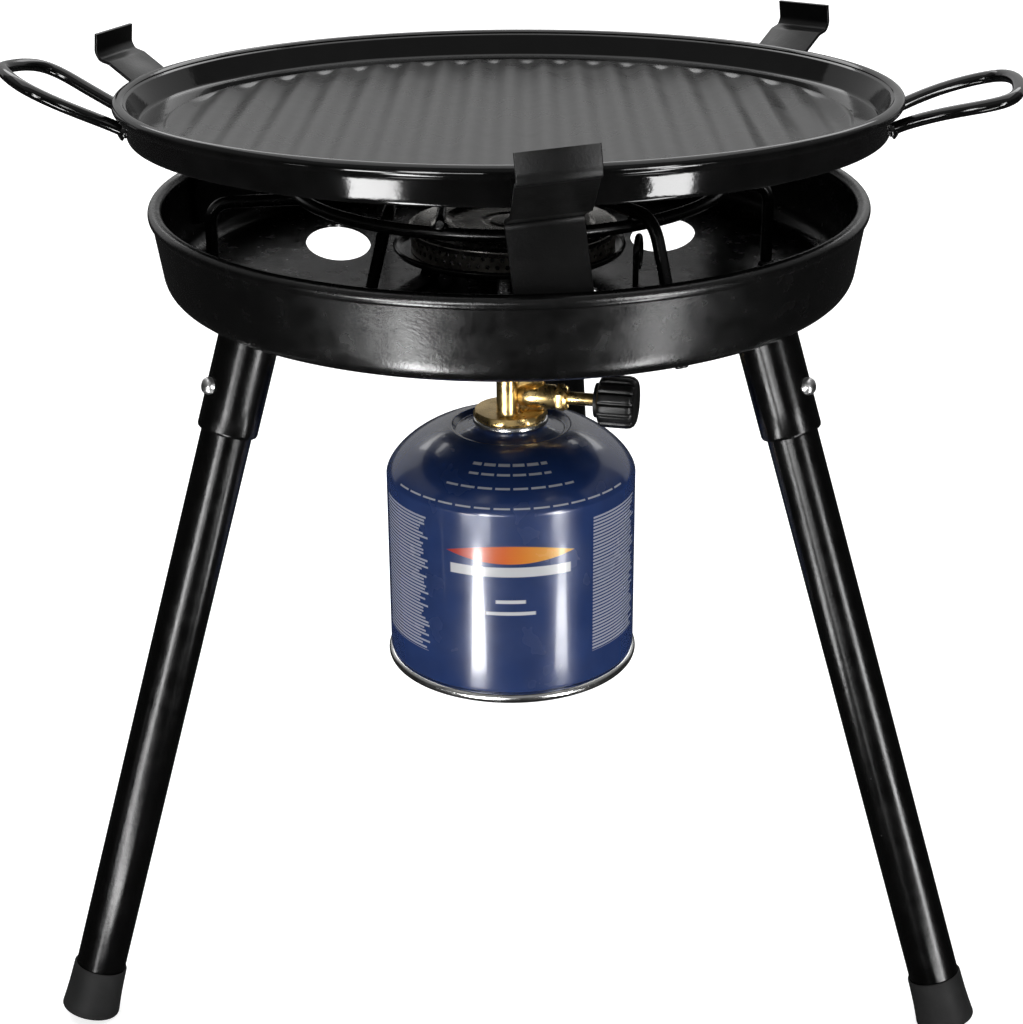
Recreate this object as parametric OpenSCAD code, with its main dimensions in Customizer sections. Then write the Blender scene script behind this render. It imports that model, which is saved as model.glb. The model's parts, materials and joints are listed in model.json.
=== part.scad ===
// Table-top gas griddle on three legs: ribbed griddle pan on sheet brackets,
// bowl with a flat burner and a wire pot support, screw-on gas cartridge below.
// Millimetres. Origin on the floor below the burner axis, +Z up, -Y to the front.

/* [Griddle] */
// Outside diameter over the rim bead
pan_d = 316; // [280:1:350]
// Height of the rim above the floor, on the axis
pan_h = 364.5; // [355:0.5:380]
// Slope of the pan, front edge higher
pan_tilt = 2; // [0:0.5:3]
// Depth outside, rim centre to underside
pan_depth = 13; // [11:0.5:18]
// Distance between rib crests
rib_pitch = 15.2; // [12:0.2:20]
// Height of the ribs
rib_rise = 3; // [2:0.2:5]
// Handle reach beyond the pan rim
handle_reach = 46; // [35:1:60]
// Handle wire diameter
handle_d = 5; // [4:0.5:8]

/* [Bowl] */
// Outside diameter over the rim bead
bowl_d = 294.2; // [260:1:320]
// Height of the rim above the floor
rim_h = 321; // [300:1:340]
// Outside depth, rim centre to underside
bowl_depth = 32.8; // [28:0.2:45]
// Sheet thickness
sheet_t = 1.2; // [0.8:0.1:2]

/* [Brackets] */
// Bracket width
brk_w = 28.6; // [20:0.2:40]
// Bracket sheet thickness
brk_t = 1.5; // [1:0.1:2.5]
// Direction of the front bracket
brk_az = 277; // [260:0.5:290]

/* [Pot support] */
// Ring radius
ring_r = 88; // [70:1:110]
// Ring height above the bowl rim
ring_up = 8.3; // [2:0.1:14]
// Wire diameter
wire_d = 5; // [4:0.5:6]

/* [Burner] */
// Perforated ring radius
flame_r = 42.3; // [35:0.1:50]
// Holes in each row of the ring
flame_n = 40; // [24:2:48]

/* [Valve] */
// Height of the valve stem axis
stem_h = 236; // [232:0.5:240]
// Direction of the valve stem
stem_az = 347; // [330:1:360]
// Knob diameter
knob_d = 22.4; // [18:0.1:28]

/* [Cartridge] */
// Cartridge diameter
can_d = 108; // [88:1:110]
// Height of the cartridge bottom above the floor
can_bottom = 114.4; // [90:0.1:125]

/* [Legs] */
// Leg tube diameter
leg_d = 20.3; // [16:0.1:25]
// Lean of the rear leg from upright
leg_lean = 18.4; // [12:0.1:22]
// Distance of the rear foot from the burner axis
foot_r = 214; // [195:0.5:230]
// How far the front legs differ, as welded: 0 is the same splay all round
leg_uneven = 1; // [0:0.1:1.5]

/* [Hidden] */
$fn = 96;

bead_r = 2.6;
pan_r = pan_d / 2 - 0.7;
rim_bead = 2.9;
rim_r = bowl_d / 2 - rim_bead;
bowl_bottom = rim_h - bowl_depth;
floor_top = bowl_bottom + sheet_t;
wr = wire_d / 2;
ring_z = rim_h + ring_up;
ground_gap = 0.05;

leg_left = 212.4;
leg_right = 326.1;
leg_rear = 80.3;
socket_h = 245.5;
button_h = 262;

black_enamel = [0.03, 0.03, 0.035];
black_coat = [0.07, 0.07, 0.075];
black_wire = [0.12, 0.12, 0.13];
stainless = [0.75, 0.74, 0.71];
brass_c = [0.80, 0.62, 0.30];
blue = [0.03, 0.05, 0.30];
tin = [0.78, 0.78, 0.78];
rubber_c = [0.09, 0.09, 0.09];

// ---- helpers ----

function unit2(v) = v / norm(v);
function left2(v) = [-v[1], v[0]];
function seg_n(p, i) = left2(unit2(p[i + 1] - p[i]));
function mitre(p, i) =
    i == 0 ? seg_n(p, 0) :
    i == len(p) - 1 ? seg_n(p, i - 1) :
    (seg_n(p, i - 1) + seg_n(p, i)) / (1 + seg_n(p, i - 1) * seg_n(p, i));

// outline of a sheet that follows the middle line p with thickness t
module sheet(p, t) {
    n = len(p);
    a = [for (i = [0 : n - 1]) p[i] + mitre(p, i) * t / 2];
    b = [for (i = [0 : n - 1]) p[n - 1 - i] - mitre(p, n - 1 - i) * t / 2];
    polygon(concat(a, b));
}

// round wire along the points p, ring sections turned about the direction up
module tube(p, r, up, k = 16) {
    n = len(p);
    dir = [for (i = [0 : n - 1]) unit3(p[min(i + 1, n - 1)] - p[max(i - 1, 0)])];
    pts = [for (i = [0 : n - 1]) let (b = unit3(cross(up, dir[i])), c = cross(dir[i], b))
        for (j = [0 : k - 1]) p[i] + r * (cos(360 * j / k) * b + sin(360 * j / k) * c)];
    side_a = [for (i = [0 : n - 2]) for (j = [0 : k - 1])
        [i * k + j, (i + 1) * k + j, i * k + (j + 1) % k]];
    side_b = [for (i = [0 : n - 2]) for (j = [0 : k - 1])
        [i * k + (j + 1) % k, (i + 1) * k + j, (i + 1) * k + (j + 1) % k]];
    first = [[for (j = [0 : k - 1]) j]];
    last = [[for (j = [0 : k - 1]) n * k - 1 - j]];
    polyhedron(pts, concat(side_a, side_b, first, last), convexity = 4);
}

function unit3(v) = v / norm(v);

// smooth curve through the space of the control points c, ends held
function blend4(a, b, c, d, t) = (pow(1 - t, 3) * a + (3 * t * t * t - 6 * t * t + 4) * b
    + (-3 * t * t * t + 3 * t * t + 3 * t + 1) * c + t * t * t * d) / 6;
function held(c) = concat([c[0], c[0]], c, [c[len(c) - 1], c[len(c) - 1]]);
function smooth(c, m = 8) = let (h = held(c))
    concat([for (i = [0 : len(h) - 4]) for (t = [0 : m - 1])
        blend4(h[i], h[i + 1], h[i + 2], h[i + 3], t / m)], [c[len(c) - 1]]);

// corner from a to c about b, and points of a radial plane set in space
function corner(a, b, c, d, m = 8) = let (p = b + d * unit3(a - b), q = b + d * unit3(c - b))
    [for (i = [0 : m]) let (t = i / m)
        (1 - t) * (1 - t) * p + 2 * t * (1 - t) * b + t * t * q];
function at_az(az, r, z) = [r * cos(az), r * sin(az), z];

// ---- griddle ----

module pan_place() {
    translate([0, 0, pan_h]) rotate([-pan_tilt, 0, 0]) children();
}

module pan_ribs(low, high) {
    reach = 137;
    n = floor(reach / rib_pitch);
    for (i = [-n : n]) {
        x = i * rib_pitch;
        half = sqrt(reach * reach - x * x) - 6;
        translate([x, 0, low]) rotate([90, 0, 0]) translate([0, 0, -half])
            linear_extrude(2 * half) polygon([for (k = [-6 : 6])
                [k * rib_pitch / 12, k == -6 || k == 6 ? -0.4
                    : (high - low) * (1 + cos(k * 30)) / 2]]);
    }
}

module griddle_pan() {
    color(black_enamel) pan_place() difference() {
        union() {
            rotate_extrude($fn = 180) translate([pan_d / 2 - bead_r, 0]) circle(r = bead_r, $fn = 32);
            rotate_extrude($fn = 180) polygon([[0, -pan_depth], [pan_r - 7.6, -pan_depth],
                [pan_r - 5.4, -pan_depth + 0.9], [pan_r - 4.4, -pan_depth + 3],
                [pan_r - 3.2, -1], [pan_r - 1.6, 1.6], [pan_r - 4.4, 1.4], [pan_r - 6.9, -4],
                [pan_r - 8.7, -8.2], [pan_r - 19, -8.6], [pan_r - 19.4, -10.2], [0, -10.2]]);
            pan_ribs(-10.4, -10.2 + rib_rise);
        }
        for (h = [left_grip, right_grip]) for (f = [-1, 1]) rotate([0, 0, h[0]])
            translate([handle_in, f * h[1][1], h[1][2]])
                rotate([0, 90 - handle_slope, 0]) cylinder(r = handle_d / 2 + 0.02, h = 12);
    }
}

// wire loop beside the pan, its ends let into the lower edge of the pan wall
handle_in = pan_r - 7.6;
handle_slope = 30;
// direction, start, and bends of each loop: outward, sideways, up
left_grip = [184.3, [0, 17.7, -11], [14.6, 24.8, 0.6], [32, 31.3, 10.6], [0, 3, 13]];
right_grip = [354.2, [0, 18.4, -11], [16.6, 27, -0.6], [41.1, 33.3, 4.4], [0.4, 5.9, 6.8]];

module handle(g) {
    tip = handle_reach - 2.6;
    k1 = [g[2][0], -g[2][1], g[2][2]];
    k2 = [g[3][0], -g[3][1], g[3][2]];
    k3 = [tip + g[4][0], -g[4][1], g[4][2]];
    lead = [7 * cos(handle_slope), 0, 7 * sin(handle_slope)];
    start = [handle_in - pan_r, -g[1][1], g[1][2]];
    half = [start, start + lead, k1, k2, k3];
    other = [for (i = [len(half) - 1 : -1 : 0]) [half[i][0], -half[i][1], half[i][2]]];
    color(black_enamel) pan_place() rotate([0, 0, g[0]]) translate([pan_r, 0, 0])
        tube(smooth(concat(half, other), 7), handle_d / 2, [0.2, 0, 1]);
}

module griddle_handle_left() { handle(left_grip); }
module griddle_handle_right() { handle(right_grip); }

// ---- bowl ----

module slot_hole(c, az, long, wide) {
    translate([c[0], c[1], bowl_bottom - 1]) rotate([0, 0, az]) scale([long / wide, 1, 1])
        cylinder(d = wide, h = 4, $fn = 64);
}

module bowl() {
    hole_r = arm_knee + (over_ring - bowl_bottom - 0.6) * tan(arm_lean);
    top = rim_r + 0.1 - sheet_t / 2;
    taper = 0.147;
    rc = 11 - sheet_t / 2;
    zc = bowl_bottom + 11;
    xw = top - taper * (rim_h - 4 - zc - 1.6);
    wall = [for (k = [0 : 8]) [xw - rc + rc * cos(-90 + 10.2 * k) + 0.15,
        zc + rc * sin(-90 + 10.2 * k)]];
    color(black_coat) difference() {
        union() {
            rotate_extrude($fn = 180) translate([rim_r, rim_h]) circle(r = rim_bead, $fn = 32);
            rotate_extrude($fn = 180)
                sheet(concat([[6, bowl_bottom + sheet_t / 2]], wall, [[top, rim_h - 1]]), sheet_t);
        }
        translate([0, 0, bowl_bottom - 1]) cylinder(r = 9.6, h = 4);
        slot_hole([-77, 45], 99.5, 58, 28);
        slot_hole([66, 56.5], 80.5, 58, 28);
        translate([24.5, -29, bowl_bottom - 1]) cylinder(r = 12, h = 4);
        rotate([0, 0, 303.5]) translate([hole_r, 0, bowl_bottom - 1]) cylinder(r = 3.1, h = 4);
        rotate([0, 0, 123.5]) translate([hole_r, 0, bowl_bottom - 1]) cylinder(r = 3.1, h = 4);
    }
}

// ---- brackets ----

// strip fixed inside the bowl wall: up past the rim, out under the pan, up and out beside
// it, then a shallow trough with a short upright lip; turn leans the whole strip sideways
module bracket(az, rise, turn) {
    base = pan_h - pan_depth;
    slope = -tan(pan_tilt) * sin(az);
    drop = brk_t / 2 + abs(sin(turn) + tan(pan_tilt) * cos(az)) * brk_w / 2 + ground_gap;
    z3 = base + slope * 150 - drop;
    p = [[139.25, rim_h - 21], [139.9, rim_h - 14.5], [140.3, rim_h - 6],
        [134.3, rim_h + 8], [127, z3 - 8], [151.4, z3], [178, z3 + rise - 2.4],
        [182.4, z3 + rise - 1.2], [184.2, z3 + rise + 2], [183.4, z3 + rise + 9.8]];
    color(black_coat) rotate([0, 0, az]) translate([0, 0, rim_h]) rotate([turn, 0, 0])
        translate([0, brk_w / 2, -rim_h]) rotate([90, 0, 0])
            linear_extrude(brk_w) sheet(p, brk_t);
}

module bracket_front() { bracket(brk_az, 20.4, 4.7); }
module bracket_left() { bracket(158.5, 20.4, 0.4); }
module bracket_right() { bracket(42.4, 21.6, -2.6); }

// ---- pot support ----

module ring_shape() {
    translate([0, 0, ring_z]) rotate_extrude($fn = 180) translate([ring_r, 0]) circle(r = wr, $fn = 32);
}

module trivet_ring() {
    color(black_wire) ring_shape();
}

// arm from the ring outward, then down to the bowl floor
under_ring = ring_z - wire_d - 0.02;
over_ring = ring_z + wire_d + 0.02;

module short_arm(az, reach) {
    a = at_az(az, 80, under_ring);
    b = at_az(az, reach, under_ring);
    c = at_az(az, reach, floor_top);
    color(black_wire) tube(concat([a], corner(a, b, c, 9), [c]), wr, [-sin(az), cos(az), 0]);
}

module trivet_arm_left() { short_arm(189, 122); }
module trivet_arm_right() { short_arm(4.5, 108); }

// arm over the ring that leans down and passes through the bowl floor
arm_lean = 20;
arm_knee = 99;

module long_arm(az) {
    a = at_az(az, 56, over_ring);
    b = at_az(az, arm_knee, over_ring);
    c = at_az(az, arm_knee + 57 * sin(arm_lean), over_ring - 57 * cos(arm_lean));
    color(black_wire) tube(concat([a], corner(a, b, c, 9), [c]), wr, [-sin(az), cos(az), 0]);
}

module trivet_arm_front() { long_arm(303.5); }
module trivet_arm_rear() { long_arm(123.5); }

// stay from the back of the ring, bent down to the floor on the left of the burner
module trivet_stay() {
    a = [-43.5, 82, under_ring];
    b = [-47.5, -38, under_ring];
    c = [-56, -31, floor_top + 0.7];
    color(black_wire) tube(concat([a], corner(a, b, c, 8), [c]), wr, [0.9, 0, 0.4]);
}

module trivet_bar(x) {
    half = sqrt(ring_r * ring_r - x * x);
    color(black_wire) translate([x, half + 3, ring_z + wr + 1.82]) rotate([90, 0, 0])
        cylinder(r = 1.8, h = 2 * half + 6);
}

module trivet_bar_left() { trivet_bar(-25); }
module trivet_bar_right() { trivet_bar(25); }
module trivet_nut_front() { trivet_nut(303.5); }
module trivet_nut_rear() { trivet_nut(123.5); }

module trivet_nut(az) {
    drop = over_ring - bowl_bottom + 1.8;
    color(stainless) rotate([0, 0, az])
        translate([arm_knee + drop * tan(arm_lean), 0, over_ring - drop])
            rotate([0, 180 - arm_lean, 0]) difference() {
                cylinder(r = 4.9, h = 4.6, $fn = 6);
                translate([0, 0, -1]) cylinder(r = wr, h = 7);
            }
}

// ---- burner ----

saucer_z = floor_top + 5.1;
head_shift = 1.6;

module burner_saucer() {
    color(black_wire) rotate_extrude($fn = 120) sheet([[9.6, saucer_z + 0.5],
        [30, saucer_z + 0.5], [36.4, saucer_z + 4.8], [45.6, saucer_z + 5.2],
        [47.4, saucer_z + 6.2], [47.8, saucer_z + 7.6]], 1);
}

module burner_flame_ring() {
    z0 = saucer_z + 5.75;
    color(stainless) translate([head_shift, 0, z0]) difference() {
        cylinder(r = flame_r, h = 9.6, $fn = 120);
        translate([0, 0, -1]) cylinder(r = flame_r - 0.8, h = 12, $fn = 120);
        for (row = [0, 1]) for (i = [0 : flame_n - 1])
            rotate([0, 0, (i + row / 2) * 360 / flame_n])
                translate([flame_r - 3, 0, 3 + 3.2 * row])
                    rotate([0, 90, 0]) cylinder(r = 1.1, h = 6, $fn = 16);
    }
}

module burner_cap() {
    z0 = saucer_z + 15.4;
    color(stainless) translate([head_shift, 0, z0]) rotate_extrude($fn = 120)
        sheet([[0, 1.3], [26, 1.3], [28, 2.1], [32, 2.1], [34, 0.5], [43.2, 0.5],
            [43.2, -2.2]], 1);
}

module burner_tube() {
    low = 258;
    color(stainless) difference() {
        union() {
            translate([0, 0, low]) cylinder(r = 9.5, h = saucer_z + 4 - low);
            translate([0, 0, floor_top]) cylinder(r = 14, h = saucer_z - floor_top);
        }
        translate([0, 0, low - 1]) cylinder(r = 8.3, h = 60);
        for (a = [0, 90]) rotate([0, 0, a + 45]) translate([-15, 0, 274])
            rotate([0, 90, 0]) cylinder(r = 4, h = 30);
    }
}

module burner_strap() {
    color(black_wire) translate([-38.7, -22.6, 0]) rotate([0, 0, 67]) translate([0, 4, 0])
        rotate([90, 0, 0]) linear_extrude(8) sheet([[-20, floor_top + 0.75],
            [14, floor_top + 0.75], [18, saucer_z - 0.75], [34, saucer_z - 0.75]], 1.5);
}

module burner_post(x, y) {
    color(stainless) translate([x, y, 0]) {
        translate([0, 0, floor_top]) cylinder(r = 2.5, h = saucer_z + 4.45 - floor_top);
        translate([0, 0, floor_top]) cylinder(r = 4, h = 1.6, $fn = 6);
    }
}

module burner_post_front() { burner_post(-2.1, -41.4); }
module burner_post_rear() { burner_post(4, 41.2); }

// open hook of thin wire beside the saucer, foot on the bowl floor
module burner_hook() {
    hr = 6.5;
    hz = 300.5;
    color(black_wire) rotate([0, 0, -11]) translate([54, 0, hz]) rotate([90, 0, 90]) {
        rotate([0, 0, -90]) rotate_extrude(angle = 270) translate([hr, 0]) circle(r = 1.3, $fn = 32);
        translate([-hr, floor_top - hz, 0]) rotate([-90, 0, 0]) cylinder(r = 1.3, h = hz - floor_top);
    }
}

module burner_lock_nut() {
    color(stainless) translate([0, 0, bowl_bottom - 7]) difference() {
        cylinder(r = 16, h = 7, $fn = 6);
        translate([0, 0, -1]) cylinder(r = 9.5, h = 9);
    }
}

// ---- valve ----

flange_z = 225.7;

module along_stem(d) {
    translate([0, -2, stem_h]) rotate([0, 0, stem_az]) translate([d, 0, 0])
        rotate([0, 90, 0]) children();
}

module valve_body() {
    color(brass_c) difference() {
        union() {
            translate([0, 0, flange_z]) intersection() {
                cylinder(r = 16, h = 3);
                rotate([0, 0, 8]) cylinder(r = 17.4, h = 3, $fn = 6);
            }
            translate([-5, -4, flange_z + 2]) cube([20, 12, 30.3]);
            translate([-1.4, -5.2, flange_z + 2]) cylinder(r = 4.5, h = 30.3);
            translate([0, 0, 250]) cylinder(r = 12, h = 8);
            translate([0, 0, 257]) cylinder(r = 8.3, h = 8);
            along_stem(4) cylinder(r = 5.3, h = 16.4);
        }
        translate([0, 0, flange_z - 1]) cylinder(r = 5.65, h = 13);
        along_stem(12) cylinder(r = 2.8, h = 20);
        translate([0, 0, 236]) cylinder(r = 1.5, h = 40);
    }
}

module valve_jet() {
    color(brass_c) translate([0, 0, 265]) difference() {
        union() {
            cylinder(r = 4.6, h = 3.5, $fn = 6);
            cylinder(r = 2.6, h = 7);
        }
        translate([0, 0, -1]) cylinder(r = 0.9, h = 9);
    }
}

// rubber ring at the top of the threaded seat
module valve_seal() {
    color(rubber_c) translate([0, 0, flange_z + 10]) difference() {
        cylinder(r = 5.65, h = 2);
        translate([0, 0, -1]) cylinder(r = 2.4, h = 4);
    }
}

module gland_nut() {
    color(brass_c) along_stem(20.4) difference() {
        union() {
            cylinder(r = 6.2, h = 3.4, $fn = 6);
            cylinder(r = 4.8, h = 4.8);
        }
        translate([0, 0, -1]) cylinder(r = 2.8, h = 8);
    }
}

module valve_stem() {
    color(brass_c) along_stem(13) {
        cylinder(r = 2.75, h = 28.6);
        translate([0, 0, 28.1]) cylinder(r = 2.2, h = 8);
    }
}

module knob() {
    kr = knob_d / 2;
    color([0.06, 0.06, 0.06]) along_stem(37) difference() {
        rotate_extrude($fn = 96) polygon([[0, 0], [kr - 4.5, 0], [kr - 4, 1.6], [kr - 1, 2.2],
            [kr, 3.6], [kr, 15.4], [kr - 1.2, 17], [kr - 2.6, 17.8], [kr - 3.2, 17.4],
            [0, 17.4]]);
        for (i = [0 : 13]) rotate([0, 0, i * 360 / 14]) translate([kr + 0.9, 0, 3.8])
            cylinder(r = 1.7, h = 20, $fn = 24);
        translate([0, 0, -1]) cylinder(r = 2.75, h = 5.6);
        translate([0, 0, 3]) cylinder(r = 2.2, h = 9.1);
    }
}

// ---- cartridge ----

can_r = can_d / 2;

module cartridge_shell() {
    t = 0.8;
    dome = [for (k = [0 : 10]) [25.4 + (can_r - t / 2 - 25.4) * pow(sin(9 * k), 1.333),
        200.8 + 20.6 * pow(cos(9 * k), 1.333)]];
    color(blue) rotate_extrude($fn = 144) sheet(concat([[15.2, 222.1], [19.4, 220.4],
        [23.6, 219.4]], [[25.2, 221.2]], [for (k = [2 : 10]) dome[k]],
        [[can_r - t / 2, can_bottom + 4.35]]), t);
}

module cartridge_base() {
    z = can_bottom;
    color(tin) union() {
        rotate_extrude($fn = 144) translate([can_r - 0.9, z + 2.2]) circle(r = 2.1, $fn = 32);
        rotate_extrude($fn = 144) sheet([[0, z + 12], [6, z + 12], [18, z + 11.2],
            [34, z + 8.6], [45, z + 5.2], [50.4, z + 3.2], [52.9, z + 2.2]], 0.8);
    }
}

module cartridge_cup() {
    z = 222.5;
    color(tin) difference() {
        union() {
            translate([0, 0, z]) cylinder(r = 15.4, h = 3.1);
            translate([0, 0, z + 0.7]) rotate_extrude($fn = 96)
                translate([15, 1.05]) circle(r = 1.3, $fn = 24);
            translate([0, 0, z]) cylinder(r = 5.56, h = 11);
        }
        translate([0, 0, z - 1]) cylinder(r = 13.4, h = 2);
        translate([0, 0, z + 0.5]) cylinder(r = 2, h = 12);
    }
}

module cartridge_stem() {
    color(tin) translate([0, 0, 214]) {
        cylinder(r = 4, h = 9);
        cylinder(r = 2, h = 17.4);
    }
}

// ---- legs ----

lr = leg_d / 2;

// each leg's own value: nothing at the rear, less on the left, more on the right
function side(az, left, right) = az == leg_left ? leg_uneven * left
    : az == leg_right ? leg_uneven * right : 0;
function lean_of(az) = leg_lean + side(az, -0.45, 0.6);
function leg_at(h, az) = h / cos(lean_of(az));

module on_leg(az) {
    rotate([0, 0, az]) translate([foot_r + side(az, -2.5, 4.3), 0, 0])
        rotate([0, -lean_of(az), 0]) children();
}

module leg_socket(az) {
    h0 = leg_at(socket_h, az);
    color(black_coat) difference() {
        on_leg(az) difference() {
            union() {
                translate([0, 0, h0]) cylinder(r = lr + 1.9, h = 80);
                translate([0, 0, h0]) cylinder(r = lr + 2.3, h = 3);
            }
            translate([0, 0, h0 - 1]) cylinder(r = lr, h = 90);
            translate([0, 0, leg_at(button_h, az)]) rotate([0, 90, 0]) cylinder(r = 3.9, h = 30);
        }
        translate([-400, -400, bowl_bottom]) cube([800, 800, 100]);
    }
}

module leg_tube(az) {
    color(black_coat) on_leg(az) difference() {
        translate([0, 0, 6]) cylinder(r = lr, h = 286);
        translate([0, 0, 5]) cylinder(r = lr - 1.2, h = 292);
        translate([0, 0, leg_at(button_h, az)]) rotate([0, 90, 0]) cylinder(r = 3.9, h = 30);
    }
}

// rubber cap, square at the end, with a flat worn where its inner edge meets the floor
module foot(az) {
    color(rubber_c) difference() {
        on_leg(az) difference() {
            rotate_extrude($fn = 96) polygon([[0, 2.2], [lr + 1.4, 2.2], [lr + 1.75, 2.8],
                [lr + 1.6, 5], [lr + 1.1, 12], [lr + 0.8, 22.4], [lr + 0.5, 23], [0, 23]]);
            translate([0, 0, 6]) cylinder(r = lr, h = 40);
        }
        translate([-400, -400, -40]) cube([800, 800, 40]);
    }
}

// snap button: round pin through tube and socket, with a flange inside the tube
module button(az) {
    color(stainless) on_leg(az) translate([0, 0, leg_at(button_h, az)]) rotate([0, 90, 0]) {
        translate([0, 0, 6.6]) rotate_extrude($fn = 48) polygon([[0, 0], [3.5, 0],
            [3.5, 6.6], [2.8, 7.5], [1.6, 8.1], [0, 8.3]]);
        translate([0, 0, 4.6]) cylinder(r = 4.6, h = 2.1);
    }
}

// spring strip anchored on the far side of the tube, bent back towards the button
module button_spring(az) {
    h = leg_at(button_h, az);
    color(stainless) on_leg(az) translate([0, 3, 0]) rotate([90, 0, 0])
        linear_extrude(6) sheet([[-8.05, h + 8], [-8.05, h - 22], [-6.4, h - 26],
            [-4.6, h - 25.4], [-3.2, h - 20], [-3.2, h + 2]], 0.6);
}

module leg_socket_left() { leg_socket(leg_left); }
module leg_socket_right() { leg_socket(leg_right); }
module leg_socket_rear() { leg_socket(leg_rear); }
module leg_tube_left() { leg_tube(leg_left); }
module leg_tube_right() { leg_tube(leg_right); }
module leg_tube_rear() { leg_tube(leg_rear); }
module foot_left() { foot(leg_left); }
module foot_right() { foot(leg_right); }
module foot_rear() { foot(leg_rear); }
module button_left() { button(leg_left); }
module button_right() { button(leg_right); }
module button_rear() { button(leg_rear); }
module button_spring_left() { button_spring(leg_left); }
module button_spring_right() { button_spring(leg_right); }
module button_spring_rear() { button_spring(leg_rear); }

griddle_pan();
griddle_handle_left();
griddle_handle_right();
bowl();
bracket_front();
bracket_left();
bracket_right();
trivet_ring();
trivet_arm_left();
trivet_arm_right();
trivet_arm_front();
trivet_arm_rear();
trivet_stay();
trivet_bar_left();
trivet_bar_right();
trivet_nut_front();
trivet_nut_rear();
burner_saucer();
burner_flame_ring();
burner_cap();
burner_tube();
burner_strap();
burner_post_front();
burner_post_rear();
burner_hook();
burner_lock_nut();
valve_body();
valve_jet();
valve_seal();
gland_nut();
valve_stem();
knob();
cartridge_shell();
cartridge_base();
cartridge_cup();
cartridge_stem();
leg_socket_left();
leg_socket_right();
leg_socket_rear();
leg_tube_left();
leg_tube_right();
leg_tube_rear();
foot_left();
foot_right();
foot_rear();
button_left();
button_right();
button_rear();
button_spring_left();
button_spring_right();
button_spring_rear();
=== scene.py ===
import json
import math

import bmesh
import bpy
import numpy as np
from mathutils import Matrix, Vector


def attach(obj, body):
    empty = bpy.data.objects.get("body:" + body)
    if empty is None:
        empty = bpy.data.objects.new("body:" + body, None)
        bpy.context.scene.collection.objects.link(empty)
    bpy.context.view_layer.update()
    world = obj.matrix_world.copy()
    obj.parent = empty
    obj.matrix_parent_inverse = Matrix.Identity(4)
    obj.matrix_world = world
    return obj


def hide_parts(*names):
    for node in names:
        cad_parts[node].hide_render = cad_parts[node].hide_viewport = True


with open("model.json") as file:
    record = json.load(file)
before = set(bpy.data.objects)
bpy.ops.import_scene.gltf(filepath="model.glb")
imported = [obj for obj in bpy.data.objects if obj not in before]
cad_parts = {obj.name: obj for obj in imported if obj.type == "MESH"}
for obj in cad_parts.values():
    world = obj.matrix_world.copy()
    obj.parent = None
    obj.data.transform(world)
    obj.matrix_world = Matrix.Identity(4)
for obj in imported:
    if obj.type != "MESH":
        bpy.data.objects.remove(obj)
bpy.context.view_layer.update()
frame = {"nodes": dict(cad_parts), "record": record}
nodes = frame["nodes"]
scene = bpy.context.scene

RIM = 321            # bowl rim bead plane, mm
FLOOR = 289.4        # inside of the bowl floor, mm
UNDER = 288.2        # outside of the bowl floor, mm
PAN = 0.3645         # pan rim plane on the axis
PAN_H = 13           # depth of the pan, mm
TILT = math.radians(2)


# ---------- camera ----------

def make_camera():
    yaw, pitch, roll = math.radians(-0.507), math.radians(23.078), -0.00713
    fwd = Vector((math.sin(yaw) * math.cos(pitch), math.cos(yaw) * math.cos(pitch), -math.sin(pitch)))
    right = Vector((math.cos(yaw), -math.sin(yaw), 0))
    up = right.cross(fwd)
    r2 = math.cos(roll) * right + math.sin(roll) * up
    u2 = -math.sin(roll) * right + math.cos(roll) * up
    cam = bpy.data.cameras.new("camera")
    cam.sensor_fit = "HORIZONTAL"
    cam.sensor_width = 36
    cam.lens = 73.93
    cam.clip_start = 0.01
    cam.clip_end = 100
    obj = bpy.data.objects.new("camera", cam)
    scene.collection.objects.link(obj)
    m = Matrix((r2, u2, -fwd)).transposed().to_4x4()
    m.translation = Vector((0.0076, -0.8461, 0.5408))
    obj.matrix_world = m
    scene.camera = obj


make_camera()


# ---------- materials ----------

def new_mat(name):
    m = bpy.data.materials.new(name)
    m.use_nodes = True
    nt = m.node_tree
    b = nt.nodes["Principled BSDF"]
    tc = nt.nodes.new("ShaderNodeTexCoord")
    return m, nt, b, tc.outputs["Object"]


def noise(nt, co, scale, detail=2.0, rough=0.5):
    n = nt.nodes.new("ShaderNodeTexNoise")
    n.inputs["Scale"].default_value = scale
    n.inputs["Detail"].default_value = detail
    n.inputs["Roughness"].default_value = rough
    nt.links.new(co, n.inputs["Vector"])
    return n.outputs["Fac"]


def ramp(nt, fac, stops):
    r = nt.nodes.new("ShaderNodeValToRGB")
    e = r.color_ramp.elements
    while len(e) < len(stops):
        e.new(0.5)
    for el, (p, c) in zip(e, stops):
        el.position = p
        el.color = (*c, 1) if isinstance(c, tuple) else (c, c, c, 1)
    nt.links.new(fac, r.inputs["Fac"])
    return r.outputs["Color"]


def bump(nt, b, height, dist, strength=1.0, after=None):
    n = nt.nodes.new("ShaderNodeBump")
    n.inputs["Strength"].default_value = strength
    n.inputs["Distance"].default_value = dist
    nt.links.new(height, n.inputs["Height"])
    if after:
        nt.links.new(after, n.inputs["Normal"])
    nt.links.new(n.outputs["Normal"], b.inputs["Normal"])
    return n.outputs["Normal"]


def separate(nt, co):
    sep = nt.nodes.new("ShaderNodeSeparateXYZ")
    nt.links.new(co, sep.inputs["Vector"])
    return sep.outputs


def mix_color(nt, factor, under, color):
    """Colour over the output under; color is an output or a value."""
    mix = nt.nodes.new("ShaderNodeMix")
    mix.data_type = "RGBA"
    nt.links.new(factor, mix.inputs["Factor"])
    nt.links.new(under, mix.inputs["A"])
    if isinstance(color, tuple):
        mix.inputs["B"].default_value = (*color, 1)
    else:
        nt.links.new(color, mix.inputs["B"])
    return mix.outputs["Result"]


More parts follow.
